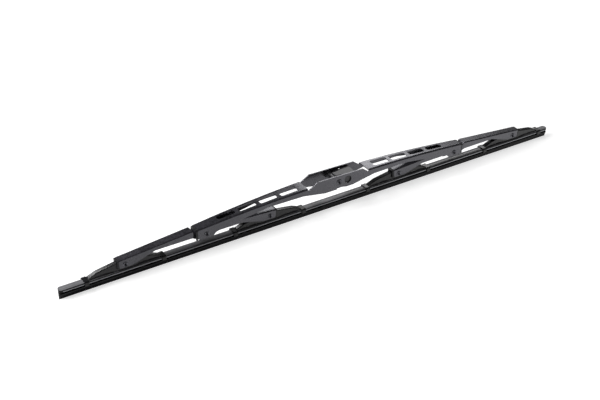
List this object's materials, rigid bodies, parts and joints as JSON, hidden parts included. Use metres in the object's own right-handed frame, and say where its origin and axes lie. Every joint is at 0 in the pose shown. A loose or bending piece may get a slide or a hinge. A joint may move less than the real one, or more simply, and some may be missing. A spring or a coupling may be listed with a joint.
{
  "type": "wiper blade",
  "caption": "Bracket-type windscreen wiper blade: slotted black steel bridge, pinned yokes and claw levers that press a long rubber strip evenly on the glass.",
  "frame": {"origin": "on the centre rivet's axis, in the blade's middle plane, where the wiper arm's hook turns", "axes": "+X along the blade to the picture's right, +Z from the rubber's lip to the bridge, -Y towards the viewer"},
  "size_m": [0.6026, 0.0206, 0.0426],
  "materials": {
    "black_enamel": "satin black",
    "rubber": "matt, graphite coated",
    "spring_steel": "bare rolled strip",
    "bush_steel": "drawn tube",
    "rivet_steel": "blackened steel",
    "liner_plastic": "moulded",
    "adapter_plastic": "moulded black"
  },
  "bodies": {
    "adapter": {"arm_adapter": "adapter_plastic"},
    "bridge": {"main_bridge": "black_enamel", "centre_rivet": "rivet_steel", "centre_bush": "bush_steel", "wiper_rubber": "rubber", "rear_rail": "spring_steel", "front_rail": "spring_steel", "left_yoke_rivet": "rivet_steel", "left_yoke_liner": "liner_plastic", "right_yoke_rivet": "rivet_steel", "right_yoke_liner": "liner_plastic"},
    "left_yoke": {"left_yoke": "black_enamel", "left_outer_lever_rivet": "rivet_steel", "left_outer_lever_liner": "liner_plastic", "left_inner_lever_rivet": "rivet_steel", "left_inner_lever_liner": "liner_plastic"},
    "right_yoke": {"right_yoke": "black_enamel", "right_outer_lever_rivet": "rivet_steel", "right_outer_lever_liner": "liner_plastic", "right_inner_lever_rivet": "rivet_steel", "right_inner_lever_liner": "liner_plastic"},
    "left_outer_lever": {"left_outer_claw_lever": "black_enamel"},
    "left_inner_lever": {"left_inner_claw_lever": "black_enamel"},
    "right_outer_lever": {"right_outer_claw_lever": "black_enamel"},
    "right_inner_lever": {"right_inner_claw_lever": "black_enamel"}
  },
  "joints": [
    {"name": "bridge_tilt", "type": "hinge", "parent": "adapter", "child": "bridge", "pos_m": [0, 0, 0], "axis": [0, 1, 0], "range_deg": [-6, 1]},
    {"name": "left_yoke_rock", "type": "hinge", "parent": "bridge", "child": "left_yoke", "pos_m": [-0.1538, 0, -0.0119], "axis": [0, 1, 0], "range_deg": [-3, 3], "stiffness_Nm_per_rad": 0.5, "deforming": ["wiper_rubber", "rear_rail", "front_rail"]},
    {"name": "left_outer_lever_rock", "type": "hinge", "parent": "left_yoke", "child": "left_outer_lever", "pos_m": [-0.2405, 0, -0.0168], "axis": [0, 1, 0], "range_deg": [-4, 4], "stiffness_Nm_per_rad": 0.3, "deforming": ["wiper_rubber", "rear_rail", "front_rail"]},
    {"name": "left_inner_lever_rock", "type": "hinge", "parent": "left_yoke", "child": "left_inner_lever", "pos_m": [-0.0805, 0, -0.0168], "axis": [0, 1, 0], "range_deg": [-4, 4], "stiffness_Nm_per_rad": 0.3, "deforming": ["wiper_rubber", "rear_rail", "front_rail"]},
    {"name": "right_yoke_rock", "type": "hinge", "parent": "bridge", "child": "right_yoke", "pos_m": [0.1538, 0, -0.0119], "axis": [0, 1, 0], "range_deg": [-3, 3], "stiffness_Nm_per_rad": 0.5, "deforming": ["wiper_rubber", "rear_rail", "front_rail"]},
    {"name": "right_outer_lever_rock", "type": "hinge", "parent": "right_yoke", "child": "right_outer_lever", "pos_m": [0.2405, 0, -0.0168], "axis": [0, 1, 0], "range_deg": [-4, 4], "stiffness_Nm_per_rad": 0.3, "deforming": ["wiper_rubber", "rear_rail", "front_rail"]},
    {"name": "right_inner_lever_rock", "type": "hinge", "parent": "right_yoke", "child": "right_inner_lever", "pos_m": [0.0805, 0, -0.0168], "axis": [0, 1, 0], "range_deg": [-4, 4], "stiffness_Nm_per_rad": 0.3, "deforming": ["wiper_rubber", "rear_rail", "front_rail"]}
  ]
}
